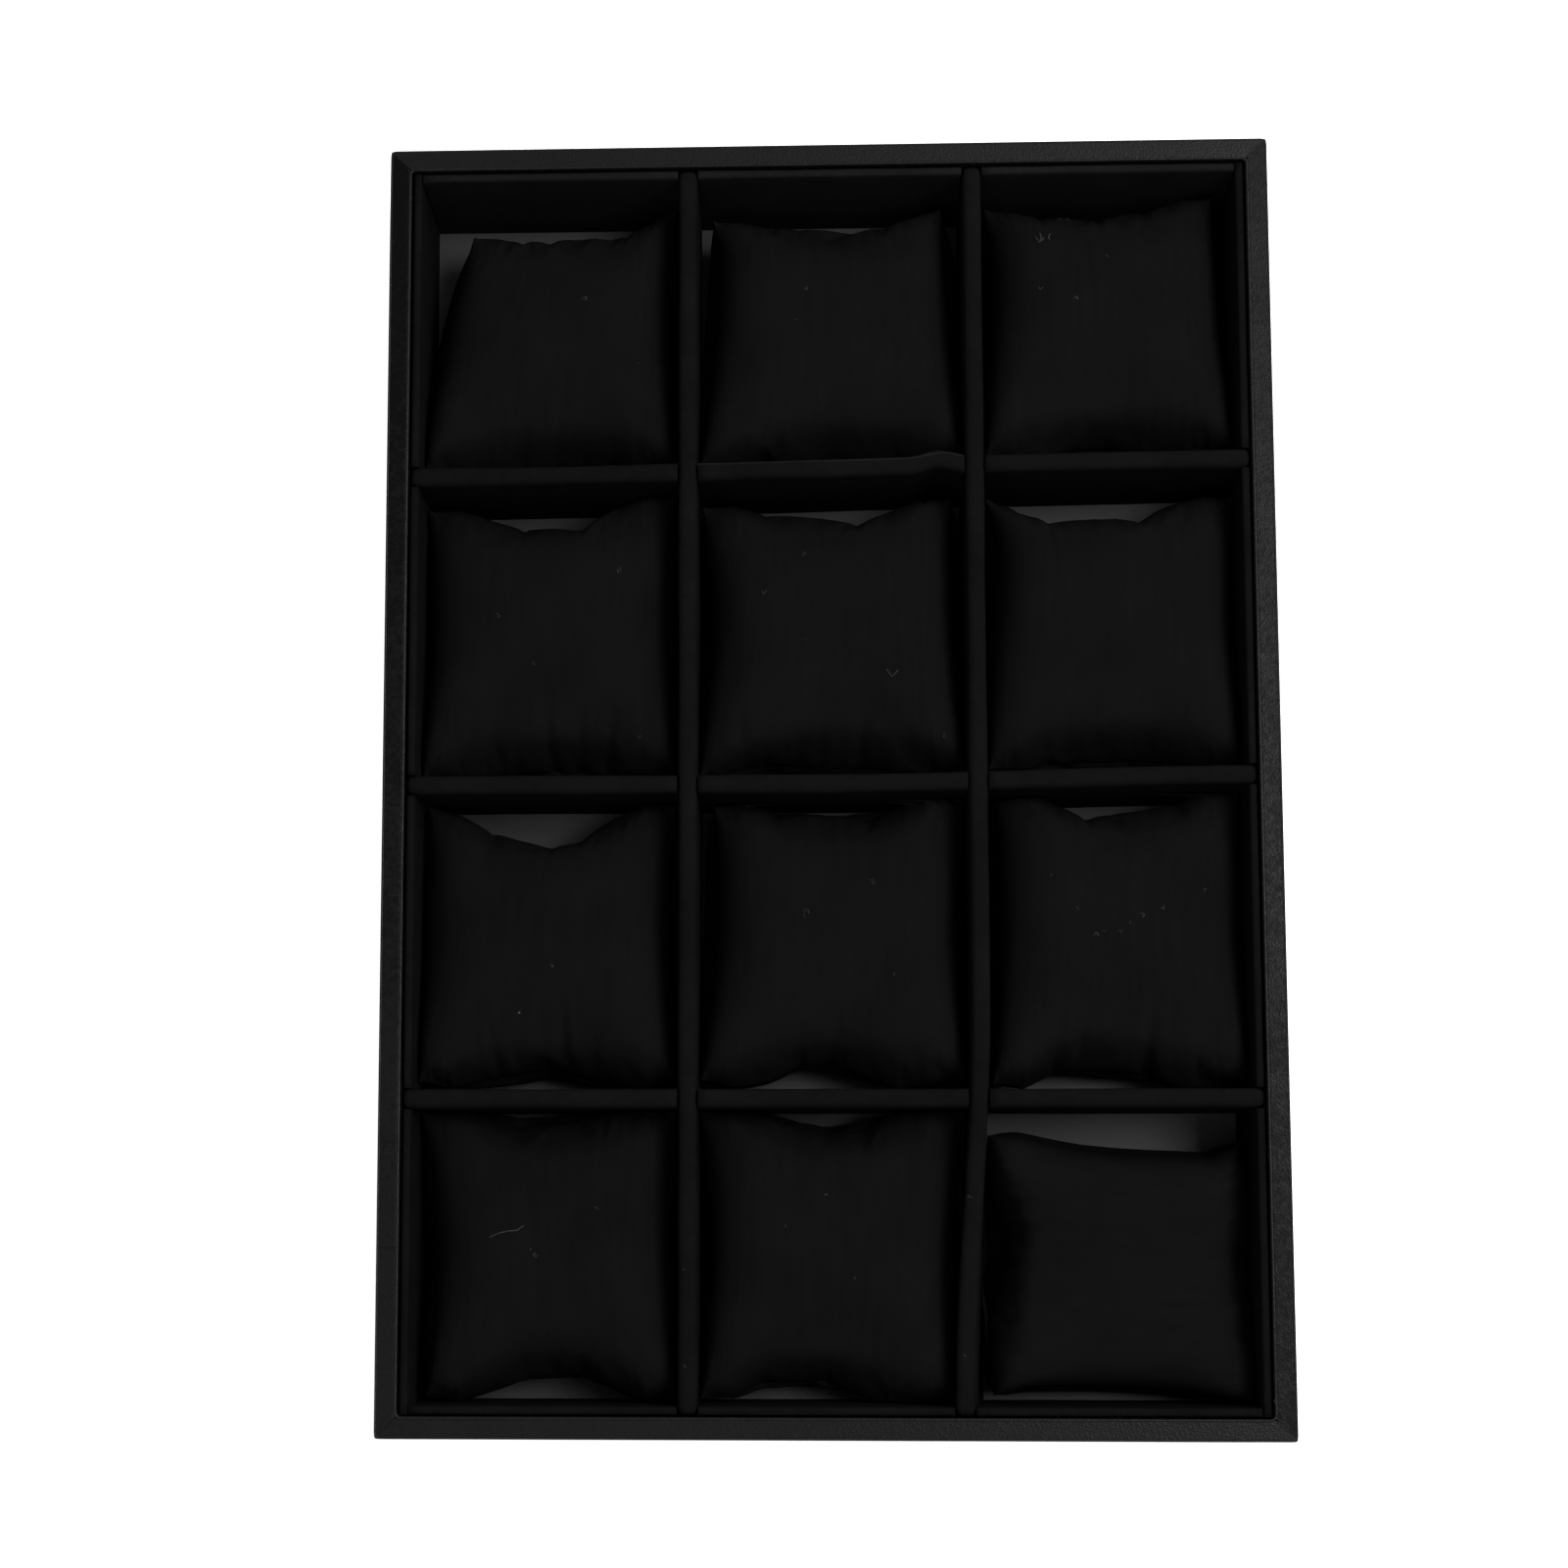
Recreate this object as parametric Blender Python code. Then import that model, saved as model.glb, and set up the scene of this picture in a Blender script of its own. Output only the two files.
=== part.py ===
# Open watch tray: leatherette walls, velvet liners and slotted dividers, twelve stuffed watch pillows.
# Metres, +Z up. X runs across the tray, +Y towards its back, and the tray stands on z = 0.

import math

import bmesh
import bpy
from mathutils import Matrix

# Pieces that touch keep this much air between them
FIT = 0.0003

# Outer tray
TRAY_WIDTH = 0.240
TRAY_LENGTH = 0.350
TRAY_HEIGHT = 0.045
WALL_THICKNESS = 0.0059
WALL_EDGE_RADIUS = 0.0009
BOARD_CORNER_RADIUS = 0.0008

# Bottom, from the table up
COVER_THICKNESS = 0.0004
COVER_INSET = 0.003
COVER_CORNER_RADIUS = 0.003
BASE_THICKNESS = 0.002
LINING_THICKNESS = 0.0005

# Velvet liner boards just inside the walls
LINER_GAP = 0.0005
LINER_THICKNESS = 0.0022
LINER_DROP = 0.0012
LINER_EDGE_RADIUS = 0.0008

# Velvet dividers, halved together where they cross
DIVIDER_THICKNESS = 0.005
DIVIDER_DROP = 0.0010
DIVIDER_EDGE_RADIUS = 0.0017
LAP_HEIGHT = 0.020
COLUMNS = 3
ROWS = 4

# How far the dividers stray from an even spacing, as they stand in a used tray
LONG_SHIFTS = (0.0, 0.0018)
CROSS_SHIFTS = (-0.0014, -0.0019, -0.0016)
LEAN_AT_TOP = 0.0053
LEAN_AT_BOTTOM = 0.0010
LEAN_LENGTH = 0.105
BACK_CROSS_DRIFT = 0.0030
BACK_CROSS_KINK = 0.0017
BACK_CROSS_KINK_LENGTH = 0.015
MIDDLE_CROSS_DRIFT = 0.0018
LEAN_STEPS = 10
DRIFT_STEPS = 5
KINK_STEPS = 6

# Stuffed pillows
PILLOW_THICKNESS = 0.0345
PILLOW_SEAM_HEIGHT = 0.0185
PILLOW_SEAM = 0.0018
PILLOW_SIDE_ROUNDNESS = 3.2
PILLOW_SIDE_POWER = 0.5
PILLOW_END_ROUNDNESS = 2.6
PILLOW_END_POWER = 0.62
PILLOW_FLATTENING = 0.80
EAR_LIFT = 0.0035
EAR_POWER = 4
GATHER_COUNT = 4
GATHER_DEPTH = 0.0009
GATHER_REACH = 0.30
PILLOW_COLUMNS = 16
PILLOW_ROWS = 9

# Each pillow's four ears, as millimetres in from the side and from the end of its compartment,
# then how many millimetres its back, front, left and right edges pull in between the ears.
# Compartments are named by row from the back and column from the left.
PILLOW_SHAPES = {
    (1, 1): ((8.0, 8.9), (3.8, 1.7), (0.4, 1.6), (1.8, 1.6), (4.0, 3.5, -2.0, 0.1)),
    (1, 2): ((6.1, 6.2), (6.0, 3.1), (1.4, 1.6), (0.5, 2.0), (5.1, 3.2, 1.2, 0.9)),
    (1, 3): ((4.1, 1.1), (4.1, 0.6), (1.4, 2.0), (0.5, 3.2), (5.7, 3.2, 1.7, 0.6)),
    (2, 1): ((2.6, 1.4), (5.8, 0.5), (0.4, 1.0), (1.7, 2.0), (6.4, 3.4, 1.2, -1.0)),
    (2, 2): ((8.0, 3.0), (6.0, 0.5), (1.4, 1.5), (0.7, 1.0), (4.0, 4.6, 0.7, 0.3)),
    (2, 3): ((2.6, 0.6), (3.2, 0.6), (2.5, 2.0), (0.5, 2.0), (5.5, 3.2, 2.6, 1.0)),
    (3, 1): ((1.7, 3.4), (4.4, 2.4), (0.4, 2.3), (1.6, 2.3), (7.0, 3.4, 2.4, 0.6)),
    (3, 2): ((5.4, 0.6), (8.0, 0.6), (2.7, 2.6), (1.4, 2.6), (4.0, 3.0, 4.0, -0.8)),
    (3, 3): ((8.0, 0.5), (2.3, 0.5), (1.1, 1.6), (0.5, 1.8), (3.0, 4.1, 0.4, 0.3)),
    (4, 1): ((1.3, 0.5), (1.6, 0.5), (3.5, 0.5), (1.5, 0.5), (3.3, 5.1, 2.5, 1.3)),
    (4, 2): ((0.5, 1.0), (2.8, 0.7), (1.4, 1.2), (1.5, 0.6), (3.9, 3.1, 6.8, 0.6)),
    (4, 3): ((0.6, 6.4), (0.5, 6.6), (2.0, 5.0), (0.5, 0.8), (4.2, 0.8, 3.0, 0.4)),
}

# Pillows laid across their compartment, so that their gathered ends face its sides
TURNED_PILLOWS = ((4, 3),)

MM = 0.001
SAME_PLACE = 1e-6
BEVEL_SEGMENTS = 3
BOARD_SMOOTH_ANGLE = math.radians(40)
PILLOW_SMOOTH_ANGLE = math.radians(80)

# Surfaces that follow from the sizes above
COVER_TOP = COVER_THICKNESS
BASE_BOTTOM = COVER_TOP + FIT
BASE_TOP = BASE_BOTTOM + BASE_THICKNESS
LINING_BOTTOM = BASE_TOP + FIT
FLOOR = LINING_BOTTOM + LINING_THICKNESS
STANDING = FLOOR + FIT
LINER_TOP = TRAY_HEIGHT - LINER_DROP
DIVIDER_TOP = TRAY_HEIGHT - DIVIDER_DROP
LAP = STANDING + LAP_HEIGHT

HALF_WIDTH = TRAY_WIDTH / 2
HALF_LENGTH = TRAY_LENGTH / 2
LINER_OUTER_X = HALF_WIDTH - WALL_THICKNESS - LINER_GAP
LINER_OUTER_Y = HALF_LENGTH - WALL_THICKNESS - LINER_GAP
INNER_X = LINER_OUTER_X - LINER_THICKNESS
INNER_Y = LINER_OUTER_Y - LINER_THICKNESS


def smooth_step(t):
    t = min(max(t, 0.0), 1.0)
    return t * t * (3 - 2 * t)


def even_places(half_span, count):
    """Centres of the dividers that part a span into equal compartments, from the low end."""
    clear = (2 * half_span - (count - 1) * DIVIDER_THICKNESS) / count
    step = clear + DIVIDER_THICKNESS
    return [-half_span - DIVIDER_THICKNESS / 2 + step * (i + 1) for i in range(count - 1)]


LONG_PLACES = [x + shift for x, shift in zip(even_places(INNER_X, COLUMNS), LONG_SHIFTS)]
CROSS_PLACES = [y + shift for y, shift in zip(reversed(even_places(INNER_Y, ROWS)), CROSS_SHIFTS)]


def long_centre(index, y, z):
    """X of a long divider's middle plane. The last one leans over towards the tray's front."""
    if index < len(LONG_PLACES) - 1:
        return LONG_PLACES[index]
    share = (z - STANDING) / (DIVIDER_TOP - STANDING)
    lean = LEAN_AT_BOTTOM + (LEAN_AT_TOP - LEAN_AT_BOTTOM) * share
    return LONG_PLACES[index] - lean * smooth_step((LEAN_LENGTH - (y + INNER_Y)) / LEAN_LENGTH)


def evenly(start, end, steps):
    """Places that part a stretch into equal steps, with its two ends."""
    return tuple(start + (end - start) * i / steps for i in range(steps + 1))


def cross_centre(index, x):
    """Y of a cross divider's middle plane. The first is kinked beside the last long divider."""
    along = (x + INNER_X) / (2 * INNER_X)
    if index == 0:
        kink_at = LONG_PLACES[-1] - DIVIDER_THICKNESS / 2 - BACK_CROSS_KINK_LENGTH / 2
        kink = smooth_step(1 - abs(x - kink_at) / (BACK_CROSS_KINK_LENGTH / 2))
        return CROSS_PLACES[0] + BACK_CROSS_DRIFT * smooth_step(along) + BACK_CROSS_KINK * kink
    if index == 1:
        return CROSS_PLACES[1] + MIDDLE_CROSS_DRIFT * smooth_step(2 * along - 1)
    return CROSS_PLACES[index]


def material(name, colour, roughness, metallic=0.0):
    found = bpy.data.materials.new(name)
    found.use_nodes = True
    shader = found.node_tree.nodes["Principled BSDF"]
    shader.inputs["Base Color"].default_value = (*colour, 1.0)
    shader.inputs["Roughness"].default_value = roughness
    shader.inputs["Metallic"].default_value = metallic
    return found


def finish(bm, name, finish_material, smooth_angle=BOARD_SMOOTH_ANGLE):
    mesh = bpy.data.meshes.new(name)
    bm.to_mesh(mesh)
    bm.free()
    mesh.shade_smooth()
    mesh.set_sharp_from_angle(angle=smooth_angle)
    mesh.materials.append(finish_material)
    made = bpy.data.objects.new(name, mesh)
    bpy.context.scene.collection.objects.link(made)
    return made


def extruded(points, direction):
    """A closed prism: the outline through the points, drawn out along a direction."""
    bm = bmesh.new()
    face = bm.faces.new([bm.verts.new(point) for point in points])
    drawn = bmesh.ops.extrude_face_region(bm, geom=[face])
    moved = [item for item in drawn["geom"] if isinstance(item, bmesh.types.BMVert)]
    bmesh.ops.translate(bm, verts=moved, vec=direction)
    bmesh.ops.recalc_face_normals(bm, faces=bm.faces)
    return bm


def round_edges(bm, wanted, radius, segments=BEVEL_SEGMENTS):
    edges = [edge for edge in bm.edges if wanted(*[vert.co for vert in edge.verts])]
    bmesh.ops.bevel(
        bm, geom=edges, offset=radius, segments=segments, profile=0.5, affect="EDGES", material=-1
    )


def near(a, b):
    return abs(a - b) < SAME_PLACE


def wall(name, turn, half_run, half_reach, leatherette):
    """A covered board along one side, its ends cut at 45 degrees to meet its neighbours."""
    mitre_gap = FIT / math.sqrt(2)
    outer_end = half_run - mitre_gap
    inner_end = outer_end - WALL_THICKNESS
    inside = half_reach - WALL_THICKNESS
    outline = (
        (-outer_end, half_reach, BASE_BOTTOM),
        (outer_end, half_reach, BASE_BOTTOM),
        (inner_end, inside, BASE_BOTTOM),
        (-inner_end, inside, BASE_BOTTOM),
    )
    bm = extruded(outline, (0, 0, TRAY_HEIGHT - BASE_BOTTOM))

    def folded_edge(a, b):
        along_rim = near(a.z, TRAY_HEIGHT) and near(b.z, TRAY_HEIGHT) and near(a.y, b.y)
        outer_corner = near(a.x, b.x) and near(a.y, b.y) and near(a.y, half_reach)
        return along_rim or outer_corner

    round_edges(bm, folded_edge, WALL_EDGE_RADIUS)
    bmesh.ops.rotate(bm, verts=bm.verts, cent=(0, 0, 0), matrix=turn)
    return finish(bm, name, leatherette)


def rounded_sheet(name, half_x, half_y, bottom, thickness, radius, sheet_material):
    """A flat sheet lying on z = bottom with its upright corners rounded."""
    corners = ((-half_x, -half_y), (half_x, -half_y), (half_x, half_y), (-half_x, half_y))
    bm = extruded([(x, y, bottom) for x, y in corners], (0, 0, thickness))
    round_edges(bm, lambda a, b: near(a.x, b.x) and near(a.y, b.y), radius)
    return finish(bm, name, sheet_material)


def slotted_outline(start, end, bottom, top, top_slots=(), bottom_slots=()):
    """(along, up) points of a board seen from the side, with slots let in from its long edges.

    A slot is its middle at its closed end, its middle at the board's edge, and the height it ends at.
    """
    half_slot = DIVIDER_THICKNESS / 2 + FIT
    points = [(start, bottom)]
    for inside, at_edge, height in bottom_slots:
        points += [
            (at_edge - half_slot, bottom),
            (inside - half_slot, height),
            (inside + half_slot, height),
            (at_edge + half_slot, bottom),
        ]
    points += [(end, bottom), (end, top)]
    for inside, at_edge, height in reversed(top_slots):
        points += [
            (at_edge + half_slot, top),
            (inside + half_slot, height),
            (inside - half_slot, height),
            (at_edge - half_slot, top),
        ]
    points.append((start, top))
    return points


def tongued(outline, half_reach, height, top):
    """Draws the upper half of a board's ends out to half_reach, as tongues that start at a height."""
    start, end = outline[0], outline[-1]
    right = next(i for i, point in enumerate(outline) if point[0] == -start[0] and point[1] == top)
    drawn = outline[:right] + [(-start[0], height), (half_reach, height), (half_reach, top)]
    return drawn + outline[right + 1 : -1] + [(-half_reach, top), (-half_reach, height), (end[0], height)]


def side_liner(name, side, velvet):
    """Liner along the tray's length. The cross dividers' tongues sit in its slots."""
    slots = [(y, y, LAP) for y in sorted(cross_centre(i, side * INNER_X) for i in range(ROWS - 1))]
    outline = slotted_outline(-LINER_OUTER_Y, LINER_OUTER_Y, STANDING, LINER_TOP, top_slots=slots)
    outer = side * LINER_OUTER_X
    bm = extruded([(outer, y, z) for y, z in outline], (-side * LINER_THICKNESS, 0, 0))

    def on_top(a, b):
        return near(a.z, LINER_TOP) and near(b.z, LINER_TOP) and near(a.x, b.x)

    round_edges(bm, on_top, LINER_EDGE_RADIUS)
    return finish(bm, name, velvet)


def end_liner(name, side, velvet):
    """Liner across the tray, between the two long ones. It holds the long dividers' tongues."""
    y = side * INNER_Y
    slots = [
        (long_centre(i, y, LAP), long_centre(i, y, LINER_TOP), LAP) for i in range(COLUMNS - 1)
    ]
    half_run = INNER_X - FIT
    outline = slotted_outline(-half_run, half_run, STANDING, LINER_TOP, top_slots=slots)
    outer = side * LINER_OUTER_Y
    bm = extruded([(x, outer, z) for x, z in outline], (0, -side * LINER_THICKNESS, 0))

    def on_top(a, b):
        return near(a.z, LINER_TOP) and near(b.z, LINER_TOP) and near(a.y, b.y)

    round_edges(bm, on_top, LINER_EDGE_RADIUS)
    return finish(bm, name, velvet)


def divider(name, half_clear, half_reach, slots, slots_on_top, bends, place, velvet):
    """A velvet board between two liners, with a tongue in each liner and a slot at each crossing.

    bends are the places along the board where it is cut across so that it can curve.
    place turns (along, across, up) into the tray's own coordinates.
    """
    clear = half_clear - FIT
    sides = {"top_slots": slots} if slots_on_top else {"bottom_slots": slots}
    outline = slotted_outline(-clear, clear, STANDING, DIVIDER_TOP, **sides)
    outline = tongued(outline, half_reach, LAP + FIT, DIVIDER_TOP)
    bm = extruded([(s, -DIVIDER_THICKNESS / 2, z) for s, z in outline], (0, DIVIDER_THICKNESS, 0))

    def padded_edge(a, b):
        along_top = near(a.z, DIVIDER_TOP) and near(b.z, DIVIDER_TOP) and near(a.y, b.y)
        tongue_end = near(a.x, b.x) and near(abs(a.x), half_reach)
        level_at_lap = near(a.z, b.z) and near(a.z, LAP + FIT)
        return along_top or (tongue_end and not level_at_lap)

    round_edges(bm, padded_edge, DIVIDER_EDGE_RADIUS)
    for at in bends:
        bmesh.ops.bisect_plane(
            bm, geom=bm.verts[:] + bm.edges[:] + bm.faces[:], plane_co=(at, 0, 0), plane_no=(1, 0, 0)
        )
    for vert in bm.verts:
        vert.co = place(*vert.co)
    return finish(bm, name, velvet)


def compartment(row, column, z):
    """Left, right, front and back faces round a compartment at one height, as functions of place."""
    half = DIVIDER_THICKNESS / 2

    def left(y):
        return -INNER_X if column == 1 else long_centre(column - 2, y, z) + half

    def right(y):
        return INNER_X if column == COLUMNS else long_centre(column - 1, y, z) - half

    def back(x):
        return INNER_Y if row == 1 else cross_centre(row - 2, x) - half

    def front(x):
        return -INNER_Y if row == ROWS else cross_centre(row - 1, x) + half

    return left, right, front, back


def pillow(name, row, column, velvet):
    """A stuffed pouch: ears at its corners, edges drawn in between them, gathered ends, a flat seat."""
    seam_z = STANDING + PILLOW_SEAM_HEIGHT
    left, right, front, back = compartment(row, column, seam_z)
    back_left, back_right, front_left, front_right, pull = PILLOW_SHAPES[(row, column)]
    pull_back, pull_front, pull_left, pull_right = [value * MM for value in pull]
    turned = (row, column) in TURNED_PILLOWS

    def corner(side, end, ear, x_sign, y_sign):
        x_in, y_in = ear[0] * MM, ear[1] * MM
        y = end(side(0.0)) - y_sign * y_in
        x = side(y) - x_sign * x_in
        return x, end(x) - y_sign * y_in

    corners = {
        (-1, 1): corner(left, back, back_left, -1, 1),
        (1, 1): corner(right, back, back_right, 1, 1),
        (-1, -1): corner(left, front, front_left, -1, -1),
        (1, -1): corner(right, front, front_right, 1, -1),
    }

    def blend(u, v):
        x = y = 0.0
        for (su, sv), (cx, cy) in corners.items():
            weight = (1 + su * u) * (1 + sv * v) / 4
            x += weight * cx
            y += weight * cy
        bow_u, bow_v = 1 - u * u, 1 - v * v
        x += bow_v * (pull_left * (1 - u) - pull_right * (1 + u)) / 2
        y += bow_u * (pull_front * (1 - v) - pull_back * (1 + v)) / 2
        return x, y

    over = PILLOW_THICKNESS - PILLOW_SEAM_HEIGHT - PILLOW_SEAM / 2
    under = PILLOW_SEAM_HEIGHT - PILLOW_SEAM / 2
    bm = bmesh.new()
    bmesh.ops.create_grid(bm, x_segments=PILLOW_COLUMNS, y_segments=PILLOW_ROWS, size=1.0)
    drawn = bmesh.ops.extrude_face_region(bm, geom=bm.faces[:])
    upper = {item for item in drawn["geom"] if isinstance(item, bmesh.types.BMVert)}
    for vert in bm.verts:
        across = math.sin(vert.co.x * math.pi / 2)
        along = math.sin(vert.co.y * math.pi / 2)
        side_fall = (1 - abs(across) ** PILLOW_SIDE_ROUNDNESS) ** PILLOW_SIDE_POWER
        end_fall = (1 - abs(along) ** PILLOW_END_ROUNDNESS) ** PILLOW_END_POWER
        fullness = side_fall * end_fall
        near_end = max(0.0, (abs(along) - 1 + GATHER_REACH) / GATHER_REACH)
        gather = near_end * math.cos(math.pi * GATHER_COUNT * vert.co.x) * (1 - across * across)
        lift = EAR_LIFT * (across * along) ** EAR_POWER
        u, v = (along, -across) if turned else (across, along)
        x, y = blend(u, v)
        if vert in upper:
            z = seam_z + PILLOW_SEAM / 2 + over * fullness + GATHER_DEPTH * gather * (1 - fullness) + lift
        else:
            z = seam_z - PILLOW_SEAM / 2 - under * min(1.0, fullness / PILLOW_FLATTENING) + lift
        vert.co = (x, y, max(z, STANDING))
    bmesh.ops.recalc_face_normals(bm, faces=bm.faces)
    return finish(bm, name, velvet, smooth_angle=PILLOW_SMOOTH_ANGLE)


def clear_scene():
    for thing in list(bpy.data.objects):
        bpy.data.objects.remove(thing, do_unlink=True)


def build():
    clear_scene()
    leatherette = material("black_leatherette", (0.022, 0.022, 0.023), 0.45)
    board = material("covered_base_board", (0.10, 0.085, 0.065), 0.85)
    paper = material("black_cover_paper", (0.018, 0.018, 0.018), 0.9)
    lining = material("grey_floor_lining", (0.030, 0.030, 0.031), 0.5)
    liner_velvet = material("liner_velvet", (0.006, 0.006, 0.006), 0.95)
    divider_velvet = material("divider_velvet", (0.007, 0.007, 0.007), 0.95)
    pillow_velvet = material("pillow_velvet", (0.008, 0.008, 0.008), 0.9)

    walls = (
        ("wall_back", 0, HALF_WIDTH, HALF_LENGTH),
        ("wall_left", 90, HALF_LENGTH, HALF_WIDTH),
        ("wall_front", 180, HALF_WIDTH, HALF_LENGTH),
        ("wall_right", 270, HALF_LENGTH, HALF_WIDTH),
    )
    for name, degrees, half_run, half_reach in walls:
        wall(name, Matrix.Rotation(math.radians(degrees), 3, "Z"), half_run, half_reach, leatherette)

    between_x = HALF_WIDTH - WALL_THICKNESS - FIT
    between_y = HALF_LENGTH - WALL_THICKNESS - FIT
    rounded_sheet(
        "underside_cover",
        HALF_WIDTH - COVER_INSET,
        HALF_LENGTH - COVER_INSET,
        0.0,
        COVER_THICKNESS,
        COVER_CORNER_RADIUS,
        paper,
    )
    rounded_sheet(
        "base_board", between_x, between_y, BASE_BOTTOM, BASE_THICKNESS, BOARD_CORNER_RADIUS, board
    )
    rounded_sheet(
        "floor_lining", between_x, between_y, LINING_BOTTOM, LINING_THICKNESS, BOARD_CORNER_RADIUS, lining
    )

    side_liner("liner_left", -1, liner_velvet)
    side_liner("liner_right", 1, liner_velvet)
    end_liner("liner_back", 1, liner_velvet)
    end_liner("liner_front", -1, liner_velvet)

    for index, name in enumerate(("long_divider_left", "long_divider_right")):
        crossings = sorted(
            cross_centre(i, long_centre(index, CROSS_PLACES[i], LAP)) for i in range(ROWS - 1)
        )
        leaning = index == COLUMNS - 2
        divider(
            name,
            INNER_Y,
            LINER_OUTER_Y,
            [(y, y, LAP + FIT) for y in crossings],
            False,
            evenly(-INNER_Y, LEAN_LENGTH - INNER_Y, LEAN_STEPS) if leaning else (),
            lambda s, t, z, index=index: (long_centre(index, s, z) - t, s, z),
            divider_velvet,
        )
    kink_end = LONG_PLACES[-1] - DIVIDER_THICKNESS / 2
    kink_start = kink_end - BACK_CROSS_KINK_LENGTH
    bends = (
        evenly(-INNER_X, kink_start, DRIFT_STEPS)
        + evenly(kink_start, kink_end, KINK_STEPS)
        + evenly(kink_end, INNER_X, DRIFT_STEPS),
        evenly(0.0, INNER_X, DRIFT_STEPS),
        (),
    )
    for index, name in enumerate(("cross_divider_back", "cross_divider_middle", "cross_divider_front")):
        crossings = [
            (long_centre(i, CROSS_PLACES[index], LAP), long_centre(i, CROSS_PLACES[index], DIVIDER_TOP), LAP)
            for i in range(COLUMNS - 1)
        ]
        divider(
            name,
            INNER_X,
            LINER_OUTER_X,
            crossings,
            True,
            bends[index],
            lambda s, t, z, index=index: (s, cross_centre(index, s) + t, z),
            divider_velvet,
        )

    for row, column in PILLOW_SHAPES:
        pillow(f"pillow_{row}_{column}", row, column, pillow_velvet)


build()
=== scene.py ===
import math

import bmesh
import bpy
import numpy as np
from mathutils import Matrix, Vector, noise
from mathutils.bvhtree import BVHTree


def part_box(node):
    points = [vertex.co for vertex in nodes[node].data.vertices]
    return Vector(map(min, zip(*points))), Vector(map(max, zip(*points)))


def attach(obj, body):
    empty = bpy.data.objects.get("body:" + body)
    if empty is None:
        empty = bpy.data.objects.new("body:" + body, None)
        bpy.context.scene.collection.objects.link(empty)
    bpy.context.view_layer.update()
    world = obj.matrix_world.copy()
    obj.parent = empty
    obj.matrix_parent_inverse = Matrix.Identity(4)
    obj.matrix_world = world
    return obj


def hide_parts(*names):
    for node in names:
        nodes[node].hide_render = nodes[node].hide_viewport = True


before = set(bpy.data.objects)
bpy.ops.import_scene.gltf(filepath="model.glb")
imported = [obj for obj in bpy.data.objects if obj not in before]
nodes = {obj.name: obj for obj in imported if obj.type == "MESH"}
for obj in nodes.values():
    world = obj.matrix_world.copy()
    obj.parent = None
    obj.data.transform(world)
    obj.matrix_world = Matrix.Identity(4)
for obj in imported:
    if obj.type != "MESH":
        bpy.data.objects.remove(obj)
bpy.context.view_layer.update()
mm = 0.001
print("tray loaded,", len(nodes), "nodes")


# camera, at the photograph's place above the tray
cameraSet = {
    "lens": 68.63,
    "place": (-0.0049, -0.1234, 0.8348),
    "turnDegrees": (7.24, 2.5, -0.11),  # one turn about this line, its length the angle
    "shift": (0.0653, 0.0490),
    "reach": 50,
}


def placeCamera(look):
    lens = bpy.data.cameras.new("trayCamera")
    lens.lens = look["lens"]
    lens.shift_x, lens.shift_y = look["shift"]
    lens.clip_end = look["reach"]
    turn = Vector(look["turnDegrees"])
    camera = bpy.data.objects.new("trayCamera", lens)
    camera.matrix_world = Matrix.Translation(look["place"]) @ Matrix.Rotation(
        math.radians(turn.length), 4, turn.normalized()
    )
    bpy.context.scene.collection.objects.link(camera)
    bpy.context.scene.camera = camera


placeCamera(cameraSet)
print("camera placed")


# studio
studio = {
    "floorSize": 3.0,
    "floorColour": (0.86, 0.86, 0.86, 1),
    "floorRoughness": 0.9,
    "floorGlow": 0.70,
    "airColour": (1.0, 1.0, 1.0, 1),
    "airStrength": 0.46,
    "lamps": (  # place, size, watts
        ((0.64, 0.10, 1.24), 0.50, 15.5),
        ((0.80, 0.60, 1.05), 1.00, 7.0),
        ((-0.30, -0.60, 1.20), 0.60, 2.0),
    ),
}


def buildStudio(look):
    bm = bmesh.new()
    bmesh.ops.create_grid(bm, x_segments=1, y_segments=1, size=look["floorSize"])
    mesh = bpy.data.meshes.new("studioFloor")
    bm.to_mesh(mesh)
    bm.free()
    white = bpy.data.materials.new("studioWhite")
    white.use_nodes = True
    shader = white.node_tree.nodes["Principled BSDF"]
    shader.inputs["Base Color"].default_value = look["floorColour"]
    shader.inputs["Roughness"].default_value = look["floorRoughness"]
    shader.inputs["Emission Color"].default_value = (1, 1, 1, 1)
    shader.inputs["Emission Strength"].default_value = look["floorGlow"]
    mesh.materials.append(white)
    floor = bpy.data.objects.new("studioFloor", mesh)
    bpy.context.scene.collection.objects.link(floor)

    world = bpy.data.worlds.new("studioAir")
    world.use_nodes = True
    background = world.node_tree.nodes["Background"]
    background.inputs["Color"].default_value = look["airColour"]
    background.inputs["Strength"].default_value = look["airStrength"]
    bpy.context.scene.world = world

    for number, (place, size, watts) in enumerate(look["lamps"], 1):
        data = bpy.data.lights.new(f"softbox{number}", "AREA")
        data.shape = "SQUARE"
        data.size = size
        data.energy = watts
        lamp = bpy.data.objects.new(f"softbox{number}", data)
        lamp.location = place
        lamp.rotation_euler = (-Vector(place)).to_track_quat("-Z", "Y").to_euler()
        lamp.visible_camera = False
        bpy.context.scene.collection.objects.link(lamp)
    bpy.context.scene.view_settings.view_transform = "Standard"


buildStudio(studio)
print("studio built")


# small helpers for node trees
def addNode(tree, kind, place, values=None, **settings):
    node = tree.nodes.new(kind)
    node.location = place
    for name, value in settings.items():
        setattr(node, name, value)
    for name, value in (values or {}).items():
        node.inputs[name].default_value = value
    return node


def startMaterial(name, values):
    material = bpy.data.materials.new(name)
    material.use_nodes = True
    shader = material.node_tree.nodes["Principled BSDF"]
    shader.location = (900, 0)
    for socket, value in values.items():
        shader.inputs[socket].default_value = value
    return material, material.node_tree, shader


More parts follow.
